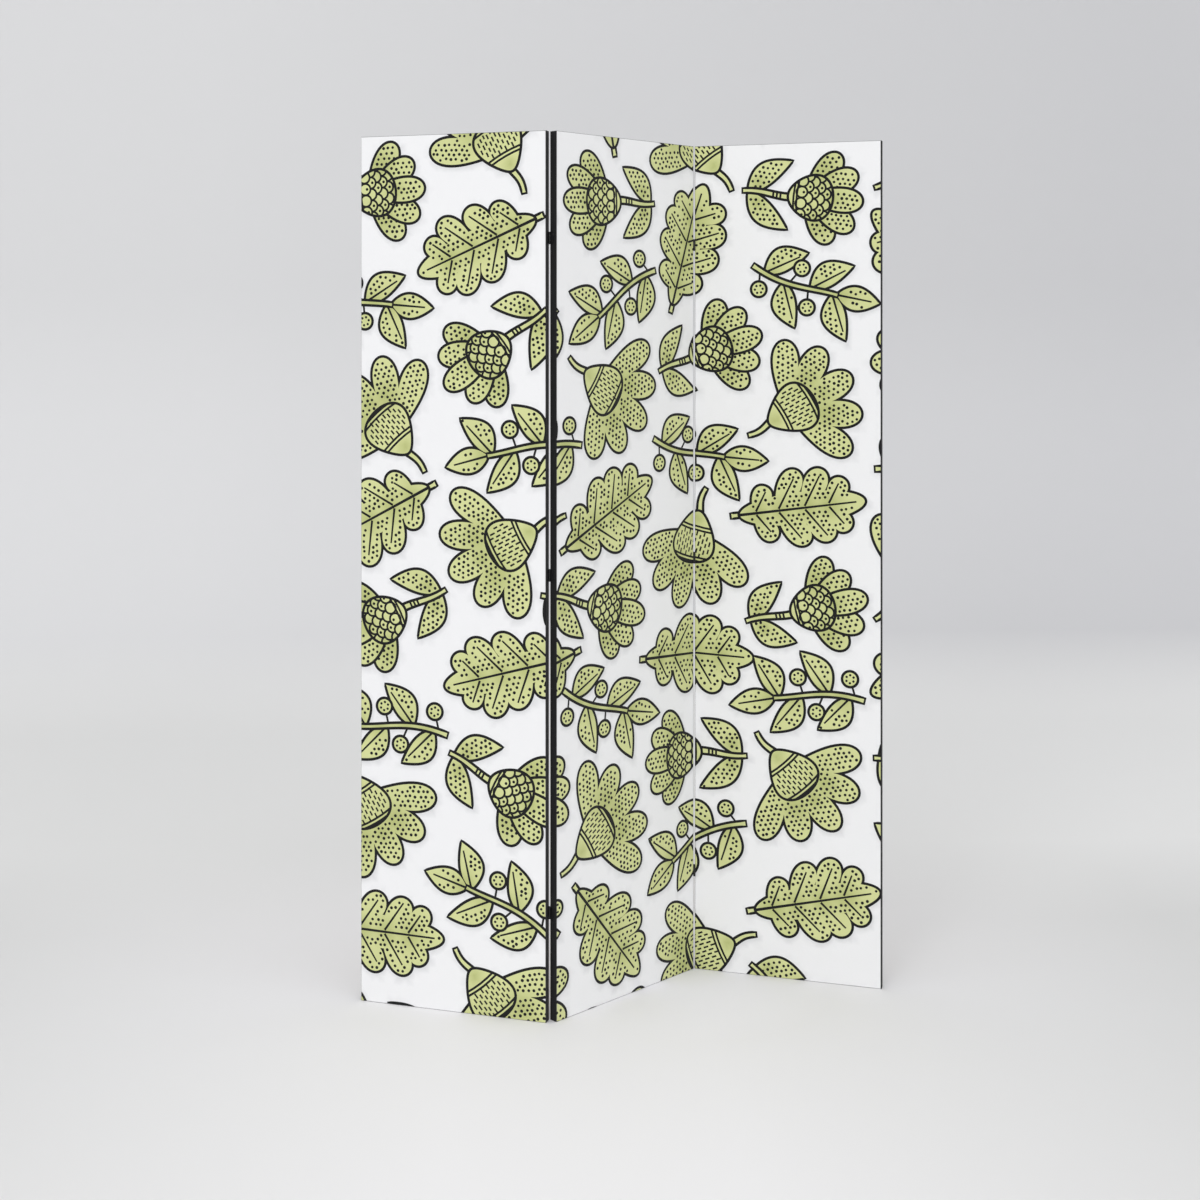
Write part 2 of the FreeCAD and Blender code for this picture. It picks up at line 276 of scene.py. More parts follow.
def disc(at, radius, steps=9):
    return at + radius * np.exp(2j * math.pi * (np.arange(steps) + 0.5) / steps)


def strip(path, breadth):
    """A line of ink or a stalk along a path; breadth is one number or one for each point."""
    side = np.gradient(path)
    side = 1j * side / np.abs(side) * np.broadcast_to(breadth, path.shape) / 2
    return np.concatenate([path - side, (path + side)[::-1]])


def inside(points, outline):
    """Which points lie in an outline."""
    a, b = outline[None, :], np.roll(outline, -1)[None, :]
    p = points[:, None]
    rise = b.imag - a.imag
    rise = np.where(rise == 0, 1e-12, rise)
    crossing = a.real + (p.imag - a.imag) / rise * (b.real - a.real)
    return (((a.imag > p.imag) != (b.imag > p.imag)) & (p.real < crossing)).sum(1) % 2 == 1


class Motif:
    """A motif on the drawing board: its marks in printing order, its cut edge, and the places that are shaded."""

    def __init__(self, seed):
        self.chance = random.Random(seed)
        self.marks, self.edges, self.shades = [], [], []
        self.seat = self.at = 0j
        self.turn, self.knobs = 0.0, None

    def mark(self, ink, outline, within=None):
        self.marks.append((ink, outline, within))
        return len(self.marks) - 1

    def shape(self, *outlines):
        """Olive shapes with one pen line round them all; returns the marks that their insides are."""
        for outline in outlines:
            self.mark(BLACK, grown(outline, pen / 2))
            self.edges.append(outline)
        return [self.mark(OLIVE, grown(outline, -pen / 2)) for outline in outlines]

    def enlarged(self, by):
        """The whole motif drawn larger."""
        self.marks = [(ink, outline * by, within) for ink, outline, within in self.marks]
        self.edges = [edge * by for edge in self.edges]
        self.shades = [(spot * by, radius * by) for spot, radius in self.shades]
        return self

    def stroke(self, path, breadth=fine_pen, within=None):
        self.mark(BLACK, strip(np.asarray(path, complex), breadth), within)

    def band(self, x, reach, within, bulge=4.0):
        """A pen line across a shape that lies along x."""
        t = np.linspace(-1, 1, 7)
        self.stroke(x + bulge * (1 - t**2) + 1j * reach * t, fine_pen, within)

    def dots(self, outlines, clear_of=(), pitch=dot_pitch):
        """Dots at an even pitch over the outlines, a little off their marks, as a hand sets them."""
        every = np.concatenate(outlines)
        rows = np.arange(every.imag.min(), every.imag.max(), pitch * dot_row_pitch)
        columns = np.arange(every.real.min(), every.real.max(), pitch)
        grid = [x + (k % 2) * pitch / 2 + 1j * y for k, y in enumerate(rows) for x in columns]
        loose = [self.chance.uniform(-1, 1) + 1j * self.chance.uniform(-1, 1) for _ in grid]
        grid = np.array(grid) + np.array(loose) * pitch * dot_looseness
        keep = np.zeros(len(grid), bool)
        for outline in outlines:
            keep |= inside(grid, grown(outline, -dot_inset))
        for outline in clear_of:
            keep &= ~inside(grid, grown(outline, dot_clearance))
        for at in grid[keep]:
            self.mark(BLACK, disc(at, dot * self.chance.uniform(0.9, 1.1)))

    def scales(self, start, end, reach, within, radius=9.5):
        """Rows of round scales, each row laid over the one before, with a dot in every other scale."""
        step = radius * 0.95
        rows = int(abs(end - start) / step) + 1
        for row in range(rows):
            x = start + (end - start) * row / max(rows - 1, 1)
            shift = radius * (row % 2)
            for n, y in enumerate(np.arange(-reach + shift, reach + radius, 2 * radius)):
                at = x + 1j * (y + self.chance.uniform(-0.5, 0.5))
                self.mark(BLACK, disc(at, radius + fine_pen / 2, 18), within)
                self.mark(OLIVE, disc(at, radius - fine_pen / 2, 18), within)
                if (n + row) % 2:
                    self.mark(BLACK, disc(at + 0.35 * radius * np.sign(start - end), scale_dot), within)

    def dashes(self, start, end, reach, outline, within):
        """Short pen strokes in rows along x."""
        for n, y in enumerate(np.arange(-reach, reach + 0.1, dash_pitch)):
            x = start + (n % 2) * dash_stagger
            while x < end:
                long = self.chance.uniform(*dash_length)
                ends = np.array([x, x + long]) + 1j * (y + self.chance.uniform(-0.5, 0.5))
                if inside(ends, grown(outline, -dash_inset)).all():
                    self.stroke(ends, dash_pen, within)
                x += long + dash_gap


def tulip(seed):
    """A tulip: a scaled cup under open petals, on a banded stalk with two leaves."""
    m = Motif(seed)
    roll = m.chance.uniform
    leaves = [placed(leaf(roll(96, 108), 44, 9 * way), -112 - 1j * way, way * roll(36, 44)) for way in (1, -1)]
    m.shape(*leaves)
    m.dots(leaves)
    path = np.linspace(-122, -6, 14)
    m.shape(strip(path + 3j * np.sin(path / 21), np.linspace(9, 14, 14)))
    for x in (-62, -55, -48):
        m.stroke([x - 6j, x + 6j])
    for turn in (-58, 58, -30, 30, 0):
        petal = placed(lobe(roll(106, 114) - abs(turn) * 0.15, 45, 0.66), 2, turn)
        m.shape(petal)
        m.dots([petal], [placed(lobe(84, 84, 0.58), -32)])
    cup = placed(lobe(86, 84, 0.62), -34)
    inner = m.shape(cup)[0]
    m.scales(48, -8, 44, inner, 10.5)
    for x in (-18, -12):
        m.band(x, 44, inner, -5)
    m.shades += [(26 + 50j, 30), (26 - 50j, 30), (50 + 0j, 20), (-92 + 18j, 16), (-92 - 18j, 16)]
    return m


def oak_leaf(seed):
    """A lobed leaf with a midrib, side veins and dots."""
    m = Motif(seed)
    roll = m.chance.uniform
    sides = ((-82, 62, 40), (-38, 84, 47), (12, 84, 47), (58, 62, 40))
    lobes = [placed(lobe(244, 66, 0.5, 64), -114)]
    for x, long, broad in sides:
        lobes += [placed(lobe(long + roll(-5, 5), broad, 0.64), x, way * roll(52, 60)) for way in (1, -1)]
    m.shape(strip(np.linspace(-130, -100, 6) + 0j, np.linspace(11, 10, 6)))
    m.shape(*lobes)
    ways = [np.exp(1j * math.radians(turn)) for turn in (56, -56)]
    veins = [x + np.linspace(4, long - 16, 5) * way for x, long, _ in sides for way in ways]
    ribs = [strip(np.array([-112, 118]) + 0j, 3)] + [strip(v, 2) for v in veins]
    m.dots(lobes, ribs)
    m.stroke(np.linspace(-114, 112, 12) + 0j, np.linspace(5.6, 3.2, 12))
    for vein in veins:
        m.stroke(vein, np.linspace(*vein_pen, 5))
    m.shades += [(x + 0j, 26) for x in (-76, -32, 18, 62)]
    return m


def fan_leaf(seed):
    """A fan of long lobes on a dashed and banded wedge."""
    m = Motif(seed)
    roll = m.chance.uniform
    path = np.linspace(-122, -62, 10)
    m.shape(strip(path - 4j * np.sin((path + 122) / 14), np.linspace(9, 13, 10)))
    lobes = [placed(lobe(roll(136, 148), 48, 0.76), -34, turn) for turn in (-62, -31, 0, 31, 62)]
    wedge = placed(lobe(100, 86, 0.72, 52), -76)
    m.shape(*lobes)
    m.dots(lobes, [wedge])
    inner = m.shape(wedge)[0]
    m.dashes(-38, 8, 36, wedge, inner)
    for x in (-51, -44, 8, 15):
        m.band(x, 48, inner, 5)
    m.shades += [(30 + 36j, 30), (30 - 36j, 30), (40 + 0j, 22), (-62 + 0j, 12)]
    return m


def sprig(seed):
    """A sprig: pairs of pointed leaves and round berries along a bent stalk."""
    m = Motif(seed)
    roll = m.chance.uniform

    def stalk(x):
        return x + 10j * math.sin(x / 46)

    leaves = [
        placed(leaf(roll(88, 96), 47, 9 * way), stalk(x), way * roll(46, 54))
        for x, way in ((-100, 1), (-8, 1), (-60, -1), (34, -1))
    ]
    leaves.append(placed(leaf(roll(84, 92), 47), stalk(42), roll(6, 16)))
    m.shape(*leaves)
    tips = [edge[0] + (edge[len(edge) // 2] - edge[0]) * 0.8 for edge in leaves]
    veins = [np.linspace(edge[0], tip, 5) for edge, tip in zip(leaves, tips)]
    m.dots(leaves, [strip(vein, 4) for vein in veins])
    for vein in veins:
        m.stroke(vein, np.linspace(*vein_pen, 5))
    berries = [stalk(x) + 7 + 1j * way * roll(33, 37) for x, way in ((-44, 1), (-104, -1), (-6, -1))]
    for berry in berries:
        m.stroke([stalk(berry.real - 12), berry])
    m.shape(strip(np.array([stalk(x) for x in np.linspace(-126, 46, 18)]), np.linspace(11, 9, 18)))
    for berry in berries:
        m.shape(disc(berry, berry_radius, 36))
        for pip in disc(berry, berry_radius / 2, 6):
            m.mark(BLACK, disc(pip, berry_pip, 8))
    m.shades += [(stalk(x) + 8, 24) for x in (-92, -52, 0, 40)]
    return m


column_pitch = 245.0
row_pitch = 212.0
print_columns = 6
print_rows = 10
first_column = 0.24
first_row = -0.12
layout_seed = 41
nudges = (44, 36, 28, 20, 14, 9, 6)
tries = 26
neighbour_reach = 330
motif_size = 1.14


def knobs(m):
    """A motif as discs that fill its shapes, to tell how much room there is between two motifs."""
    ends = [(e[k], e[-k]) for e in m.edges for k in (len(e) // 8, len(e) // 4, 3 * len(e) // 8)]
    return np.array([(a + b) / 2 for a, b in ends]), np.array([abs(a - b) / 2 for a, b in ends])


def laid_out():
    """The motifs on the print: staggered columns, then each is turned and nudged until all have room round them."""
    chance = random.Random(layout_seed)
    kinds = (tulip, oak_leaf, fan_leaf, sprig)
    laid = []
    for i in range(print_columns):
        for j in range(print_rows):
            m = kinds[(2 * i + j) % 4](100 * i + j).enlarged(motif_size)
            m.seat = column_pitch * (i + first_column) + 1j * row_pitch * (j + first_row + 0.5 * (i % 2))
            m.at, m.turn, m.knobs = m.seat, chance.uniform(0, 360), knobs(m)
            laid.append(m)
    for reach in nudges:
        for m in laid:
            middles, radii = m.knobs
            others = [o for o in laid if o is not m and abs(o.at - m.at) < neighbour_reach]
            there = np.concatenate([placed(o.knobs[0], o.at, o.turn) for o in others])
            thick = np.concatenate([o.knobs[1] for o in others])
            best = (-math.inf, m.at, m.turn)
            for k in range(tries):
                at, turn = m.at, m.turn
                if k:
                    at = m.seat + chance.uniform(-reach, reach) + 1j * chance.uniform(-reach, reach)
                    turn = chance.uniform(0, 360) if k % 2 else m.turn + chance.uniform(-reach, reach)
                here = placed(middles, at, turn)
                room = (np.abs(here[:, None] - there[None, :]) - radii[:, None] - thick[None, :]).min()
                if room > best[0]:
                    best = (room, at, turn)
            _, m.at, m.turn = best
            m.seat = 0.5 * (m.seat + m.at)
    return laid


drawing = laid_out()


# Canvases. Each is one sheet of printed polyester and cotton, pulled over the front of its frame, wrapped round all
# four edges and turned over 30 mm onto the back. It is printed to the edge of the face and black from there on.

edge_radius = 1.2
back_radius = 0.4
end_swell = 0.8
cloth_thickness = 0.4
off_the_bars = 0.05
hem = 30.0
pleat = ((1.5, 1.5), (29.0, 26.0), (6.0, 28.5))
pleat_lift = 0.35
pleat_sunk = 0.02
rim_steps = (34, 150)
paper_pitch = 16
near_rim, far_rim = 3, 2
tone_rings = (4.0, 8.0, 12.0, 17.0)
shadow_margin = 20
shadow_reach = 12.0
shadow_throw = 2.0 - 4.0j

# The black of the wrapped edges meets the print on the rounding. How far up it comes differs a little from end to
# end: 0 leaves the rounding to the print, 1 makes it all black.
black_on_ends = {"left": (0.0, 0.5), "middle": (0.5, 0.5), "right": (0.0, 1.0)}
black_on_top_and_foot = 0.5


def marks_on(left):
    """What the panel that starts at x = left has of the print: outlines in printing order, with their inks and the
    outline that each stays inside, then the motifs, and loose points that carry the soft tones."""
    far, top = width * 1000 - edge_radius, print_height - edge_radius
    across, up = (np.linspace(edge_radius, end, steps)[:-1] for end, steps in zip((far, top), rim_steps))
    half_rim = np.concatenate([across + 1j * edge_radius, far + 1j * up])
    outlines = [np.concatenate([half_rim, far + edge_radius + 1j * (top + edge_radius) - half_rim])]
    inks, withins, loose, motifs = [PAPER], [None], [], []
    for m in drawing:
        at = m.at - left
        reach = placed(np.concatenate(m.edges), at, m.turn).real
        if reach.max() < -shadow_margin or reach.min() > width * 1000 + shadow_margin:
            continue
        first = len(outlines)
        for ink, outline, within in m.marks:
            outlines.append(placed(outline, at, m.turn))
            inks.append(ink)
            withins.append(None if within is None else first + within)
        for edge in m.edges:
            edge = placed(edge, at, m.turn)
            loose += [grown(edge, by)[:: 2 if by < 5 else 4] for by in tone_rings]
        motifs.append((m, at))
    columns, rows = (np.arange(paper_pitch / 2, size, paper_pitch) for size in (width * 1000, print_height))
    loose.append((columns[:, None] + 1j * rows[None, :]).ravel())
    loose = np.concatenate(loose)
    loose = loose[(loose.real > near_rim) & (loose.real < far - far_rim)]
    loose = loose[(loose.imag > near_rim) & (loose.imag < top - far_rim)]
    return outlines, inks, withins, motifs, loose


def printed_face(left):
    """The print cut to one panel: points in millimetres, triangles, the ink of each triangle, and the motifs."""
    outlines, inks, withins, motifs, loose = marks_on(left)
    points, faces = [], []
    for outline in outlines:
        area = (outline.real * np.roll(outline.imag, -1) - outline.imag * np.roll(outline.real, -1)).sum()
        outline = outline if area > 0 else outline[::-1]
        faces.append(list(range(len(points), len(points) + len(outline))))
        points += [(p.real, p.imag) for p in outline]
    points = [Vector(p) for p in points] + [Vector((p.real, p.imag)) for p in loose]
    places, _, triangles, _, _, sources = delaunay_2d_cdt(points, [], faces, 1, 1e-3, True)
    kept, printed = [], []
    for corners, marks in zip(triangles, sources):
        if 0 not in marks:
            continue
        for mark in sorted(marks, reverse=True):
            if withins[mark] is None or withins[mark] in marks:
                break
        kept.append(corners)
        printed.append(inks[mark])
    used, kept = np.unique(np.array(kept), return_inverse=True)
    return np.array([places[k][:] for k in used]), kept.reshape(-1, 3), printed, motifs


def soft_tones(points, motifs):
    """For each point, how deep it lies in the printed shadow beside the motifs, and in the shading on them."""
    z = points[:, 0] + 1j * points[:, 1]
    shadow, shade = np.zeros(len(z)), np.zeros(len(z))
    for m, at in motifs:
        for edge in m.edges:
            ring = placed(edge, at + shadow_throw, m.turn)
            low, high = ring.real.min() - shadow_reach, ring.real.max() + shadow_reach
            close = (z.real > low) & (z.real < high)
            low, high = ring.imag.min() - shadow_reach, ring.imag.max() + shadow_reach
            close = np.flatnonzero(close & (z.imag > low) & (z.imag < high))
            if not len(close):
                continue
            p, a = z[close][:, None], ring[None, :]
            ahead = np.roll(ring, -1)[None, :] - a
            t = np.clip(((p - a) * ahead.conj()).real / np.maximum(np.abs(ahead) ** 2, 1e-9), 0, 1)
            away = np.abs(p - a - t * ahead).min(1)
            away[inside(z[close], ring)] = 0
            shadow[close] = np.maximum(shadow[close], np.clip(1 - away / shadow_reach, 0, 1) ** 1.6)
        for spot, radius in m.shades:
            away = np.abs(z - placed(spot, at, m.turn)) / radius
            shade = np.maximum(shade, np.exp(-(away**2)))
    return shadow, shade


class Cloth:
    """A canvas as it is built up, in millimetres from the left end of its panel's foot: its corners, and for each
    face its corners, the ink at each of them, where they lie on the flat cloth, and whether it is rounded."""

    def __init__(self):
        self.corners = np.empty((0, 3))
        self.faces, self.inks, self.flat, self.rounded = [], [], [], []

    def add_corners(self, across, back, up):
        """Corners that lie equally deep; returns their numbers."""
        start = len(self.corners)
        self.corners = np.concatenate([self.corners, np.column_stack([across, np.full(len(across), back), up])])
        return np.arange(start, len(self.corners))

    def add_face(self, corners, inks, flat=None, rounded=False):
        corners = [int(k) for k in corners]
        self.faces.append(corners)
        self.inks += inks
        self.flat += self.corners[corners][:, (0, 2)].tolist() if flat is None else flat
        self.rounded.append(rounded)


def wrap_rings():
    """The way of the cloth from the face round the edge and back along its inner side. A ring says how far in from
    the panel's edge it lies and how deep, its share of the swell that the doubled cloth gives the ends, and the ink
    and the rounding of the strip that comes after it."""
    half, r, b, t = depth * 500, edge_radius, back_radius, cloth_thickness
    bend = 1 - math.sqrt(0.5)
    return [
        (r, -half, 0.0, BLACK, True),
        (r * bend, -half + r * bend, 0.6, BLACK, True),
        (0.0, -half + r, 1.0, BLACK, False),
        (0.0, half - b, 1.0, BLACK, True),
        (b * bend, half - b * bend, 0.6, BLACK, True),
        (b, half, 0.0, BLACK, False),
        (hem, half, 0.0, BLACK, False),
        (hem, half - t + off_the_bars, 0.0, RAW, False),
        (t + off_the_bars, half - t, 0.0, RAW, False),
        (t + off_the_bars, t - half, 0.0, RAW, False),
    ]


def rim_of(triangles):
    """The outer edge of a set of triangles: one anticlockwise loop of points, and the triangle beside each step."""
    steps = {}
    for n, (a, b, c) in enumerate(triangles.tolist()):
        for pair in ((a, b), (b, c), (c, a)):
            steps[pair] = n
    onward = {a: (b, n) for (a, b), n in steps.items() if (b, a) not in steps}
    loop, beside = [next(iter(onward))], []
    while True:
        after, n = onward[loop[-1]]
        beside.append(n)
        if after == loop[0]:
            return loop, beside
        loop.append(after)


def wrap(cloth, rim, loop, rim_inks, black_shares):
    """Takes the cloth ring by ring round the edges of the printed face, over the hem and back on its inner side."""
    middle = np.array([width * 500, height * 500])
    upright = np.abs(np.roll(rim, -1, 0)[:, 0] - rim[:, 0]) < 1e-3
    far_side = rim > middle
    rings = wrap_rings()
    lie = [np.array(loop)]
    for out, back, swell, _, _ in rings[1:]:
        ring = middle + (rim - middle) * (middle - out) / (middle - edge_radius)
        ring[:, 0] += (rim[:, 0] - middle[0]) / (middle[0] - edge_radius) * end_swell * swell
        lie.append(cloth.add_corners(ring[:, 0], back, ring[:, 1]))
    beyond = np.cumsum([-edge_radius] + [math.dist(a[:2], b[:2]) for a, b in zip(rings, rings[1:])])
    for k, (_, _, _, ink, rounded) in enumerate(rings[:-1]):
        for s in range(len(loop)):
            e = (s + 1) % len(loop)
            axis = 0 if upright[s] else 1
            inks = [ink] * 4
            if k == 0:
                black = black_shares[int(far_side[s][0])] if upright[s] else black_on_top_and_foot
                before, after = (
                    (0, share, 0) if share > 0 else rim_inks[s] for share in (2 * black - 1, 2 * black)
                )
                inks = [before, before, after, after]
            corners, flat = [], []
            for v, ring in ((e, k), (s, k), (s, k + 1), (e, k + 1)):
                corners.append(lie[ring][v])
                at = cloth.corners[corners[-1]][[0, 2]].tolist()
                at[axis] = 2 * middle[axis] + beyond[ring] if far_side[s][axis] else -beyond[ring]
                flat.append(at)
            cloth.add_face(corners, inks, flat, rounded)
    hub = cloth.add_corners([middle[0]], rings[-1][1], [middle[1]])[0]
    for here, onward in zip(lie[-1], np.roll(lie[-1], -1)):
        cloth.add_face((onward, here, hub), [RAW] * 3)


def fold_pleats(cloth):
    """The folded corners of the cloth on the back: thin three-sided pleats that lie on the hem along its mitres."""
    middle = np.array([width * 500, height * 500])
    for out in ((1, 1), (-1, 1), (-1, -1), (1, -1)):
        corners = np.array(pleat)[:: out[0] * out[1]] * out + (middle - np.array(out) * middle)
        low = cloth.add_corners(corners[:, 0], depth * 500 - pleat_sunk, corners[:, 1])
        high = cloth.add_corners(corners[:, 0], depth * 500 + pleat_lift, corners[:, 1])
        walls = [(low[b], low[a], high[a], high[b]) for a, b in ((0, 1), (1, 2), (2, 0))]
        for side in [low, high[::-1]] + walls:
            cloth.add_face(side, [BLACK] * len(side))


def put_in_scene(name, data):
    """A new object that holds a mesh, a lamp or a camera."""
    made = bpy.data.objects.new(name, data)
    bpy.context.scene.collection.objects.link(made)
    return made


def make_canvas(number, panel):
    """One panel's canvas as a closed skin: printed face, wrapped edges, hem, pleats, and the bare inner side."""
    points, triangles, printed, motifs = printed_face(number * width * 1000)
    loop, beside = rim_of(triangles)
    cloth = Cloth()
    cloth.add_corners(points[:, 0], -depth * 500, points[:, 1])
    for corners, ink in zip(triangles, printed):
        cloth.add_face(corners, [ink] * 3)
    wrap(cloth, points[loop], loop, [printed[n] for n in beside], black_on_ends[panel])
    fold_pleats(cloth)
    corners = cloth.corners / 1000
    corners[:, 0] -= width / 2
    mesh = bpy.data.meshes.new(f"{panel}_printed_canvas")
    mesh.from_pydata(corners.tolist(), [], cloth.faces)
    mesh.polygons.foreach_set("use_smooth", cloth.rounded)
    inks = np.insert(np.array(cloth.inks, np.float32), 3, 1.0, axis=1)
    mesh.attributes.new("ink", "FLOAT_COLOR", "CORNER").data.foreach_set("color", inks.ravel())
    on_rounding = slice(len(points), len(points) + 2 * len(loop))
    for name, values in zip(("shadow", "shade"), soft_tones(points, motifs)):
        held = np.zeros(len(corners), np.float32)
        held[: len(points)] = values
        held[on_rounding] = np.tile(values[loop], 2)
        mesh.attributes.new(name, "FLOAT", "POINT").data.foreach_set("value", held)
    flat = (np.array(cloth.flat) / 1000).astype(np.float32)
    mesh.uv_layers.new(name="cloth").data.foreach_set("uv", flat.ravel())
    mesh.transform(poses[panel])
    mesh.update()
    return put_in_scene(f"{panel}_printed_canvas", mesh)


# Shaders take sizes in metres. Those above are in millimetres, like the print.
thread_pitch = 0.0011
weave_relief = 0.00012
paper_white = swatch(240, 240, 241)
shadow_grey = swatch(150, 151, 156)
olive = swatch(212, 216, 155)
deep_olive = swatch(164, 171, 100)
black_ink = swatch(14, 14, 16)
raw_cloth = swatch(234, 228, 214)

weave, given, wanted = node_group(
    "plain weave",
    [("Cloth", "Vector", None), ("Pitch", "Float", thread_pitch)],
    [("Height", "Float"), ("Slub and hollow shade", "Float")],
)
flat = fit(weave, "ShaderNodeSeparateXYZ", {0: given["Cloth"]}).outputs
waves = [
    work(weave, "SINE", times(weave, work(weave, "DIVIDE", flat[way], given["Pitch"]), math.pi)) for way in (0, 1)
]
warp, weft = (work(weave, "ABSOLUTE", wave) for wave in waves)
over = level(weave, times(weave, *waves), -0.25, 0.25)
under = work(weave, "SUBTRACT", 1.0, over)
thread = plus(weave, times(weave, warp, over), times(weave, weft, under))
slub = noise(weave, given["Cloth"], 210.0, 2.0)
weave.links.new(plus(weave, thread, times(weave, slub, 0.5)), wanted["Height"])
# The tone is partly painted shade, darker where the threads dip between crossings, and partly the slub's own uneven
# colour.
tone = plus(weave, level(weave, thread, 0.0, 0.6, 0.0, 0.7), times(weave, slub, 0.3))
weave.links.new(tone, wanted["Slub and hollow shade"])

cloth_surface = {"Specular_IOR_Level": 0.25, "Sheen_Weight": 0.08, "Sheen_Roughness": 0.6}
canvas, tree, shader = finish_coat("printed_canvas", **cloth_surface)
flat_cloth = get(tree, "ShaderNodeUVMap", uv_map="cloth")
threads = fit(tree, "ShaderNodeGroup", {"Cloth": flat_cloth}, node_tree=weave).outputs
ink, shadow, shade = (
    fit(tree, "ShaderNodeAttribute", attribute_name=name).outputs for name in ("ink", "shadow", "shade")
)
ink = fit(tree, "ShaderNodeSeparateColor", {0: ink["Color"]}).outputs
mottle = noise(tree, fit(tree, "ShaderNodeTexCoord").outputs["Object"], 14.0, 4.0)
white = tint(tree, times(tree, shadow["Fac"], 0.3), paper_white, shadow_grey)
leaf_ink = tint(tree, times(tree, shade["Fac"], 0.62), olive, deep_olive)
leaf_ink = tint(tree, level(tree, mottle, 0.4, 0.7, 0.0, 0.16), leaf_ink, deep_olive)
face = tint(tree, ink[0], white, leaf_ink)
face = tint(tree, ink[1], face, black_ink)
face = tint(tree, ink[2], face, raw_cloth)
# Painted shade in the hollows of the weave, with the slub's own tone, darkens the face by up to 7 per cent.
face = tint(tree, 1.0, face, level(tree, threads["Slub and hollow shade"], 0.0, 1.0, 0.93, 1.0), "MULTIPLY")
tree.links.new(face, shader.inputs["Base Color"])
tree.links.new(level(tree, mottle, 0.3, 0.7, 0.74, 0.84), shader.inputs["Roughness"])
relief(tree, shader, threads["Height"], weave_relief)

for number, panel in enumerate(panels):
    piece = make_canvas(number, panel)
    piece.data.materials.append(canvas)
    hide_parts(f"{panel}_panel_canvas")
    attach(piece, f"{panel}_panel")


# Staples. The hem is stapled to the back of the bars every 75 mm or so: bright steel wire, 10 mm across the crown.
# Their legs are driven into the pine, so only the crowns show.

staple_pitch = 0.075
staple_crown = 0.010
staple_wire = 0.0007
staple_leg = 0.004
staple_setback = 0.015
first_staple = 0.03
staple_slant = 0.16
metal_relief = 0.00004

wear, given, wanted = node_group(
    "edge wear",
    [("Place", "Vector", None), ("Reach", "Float", 0.0006)],
    [("Worn", "Float"), ("Mottle", "Float")],
)
spots = noise(wear, given["Place"], 420.0, 3.0)
rounded = get(wear, "ShaderNodeBevel", {"Radius": given["Reach"]}, samples=4)
plain = fit(wear, "ShaderNodeNewGeometry").outputs["Normal"]
turned = fit(wear, "ShaderNodeVectorMath", {0: rounded, 1: plain}, operation="DOT_PRODUCT").outputs["Value"]
edge = level(wear, turned, 0.995, 0.9)
wear.links.new(times(wear, edge, level(wear, spots, 0.5, 0.64)), wanted["Worn"])
wear.links.new(spots, wanted["Mottle"])


def worn_metal(name, finish, bare, roughness, metallic):
    """Metal with rubbed edges. The two pairs are of the finish, then of the bare metal."""
    material, tree, shader = finish_coat(name, Metallic=metallic[0])
    place = fit(tree, "ShaderNodeTexCoord").outputs["Object"]
    edges = fit(tree, "ShaderNodeGroup", {"Place": place}, node_tree=wear).outputs
    patchy = level(tree, edges["Mottle"], 0.3, 0.7, 0.0, 0.35)
    tone = tint(tree, patchy, swatch(*finish), swatch(*(c * 1.25 for c in finish)))
    tree.links.new(tint(tree, edges["Worn"], tone, swatch(*bare)), shader.inputs["Base Color"])
    surface = plus(tree, level(tree, edges["Worn"], 0.0, 1.0, *roughness), times(tree, edges["Mottle"], 0.08))
    tree.links.new(surface, shader.inputs["Roughness"])
    if metallic[0] != metallic[1]:
        tree.links.new(level(tree, edges["Worn"], 0.0, 1.0, *metallic), shader.inputs["Metallic"])
    relief(tree, shader, edges["Mottle"], metal_relief)
    return material


bright_steel = worn_metal("bright_steel", (176, 176, 178), (205, 205, 208), (0.3, 0.22), (1.0, 1.0))


def slanted(tree, lie, axis, low, high, seed):
    """A rotation with a chance turn of its own for each copy."""
    turn = fit(tree, "FunctionNodeRandomValue", {2: low, 3: high, "Seed": seed}, data_type="FLOAT").outputs[1]
    turn = get(tree, "ShaderNodeCombineXYZ", {axis: turn})
    turn = get(tree, "FunctionNodeEulerToRotation", {0: turn})
    return get(tree, "FunctionNodeRotateRotation", {0: lie, 1: turn}, rotation_space="LOCAL")


def set_out(tree, points, shape, lie, material, wanted):
    """Sets a copy of a shape on each point, and turns the copies into plain faces of one material."""
    copies = {"Points": points, "Instance": shape, "Rotation": lie}
    copies = get(tree, "GeometryNodeInstanceOnPoints", copies)
    copies = get(tree, "GeometryNodeRealizeInstances", {0: copies})
    copies = get(tree, "GeometryNodeSetMaterial", {"Geometry": copies, "Material": material})
    tree.links.new(copies, wanted)


def shape_rule(name, **sizes):
    """An empty geometry tree that takes a material and sizes in metres, and its two end nodes."""
    inlets = [("Geometry", "Geometry", None), ("Material", "Material", None)]
    inlets += [(label.replace("_", " "), "Float", size) for label, size in sizes.items()]
    return node_group(name, inlets, [("Geometry", "Geometry")], "GeometryNodeTree")


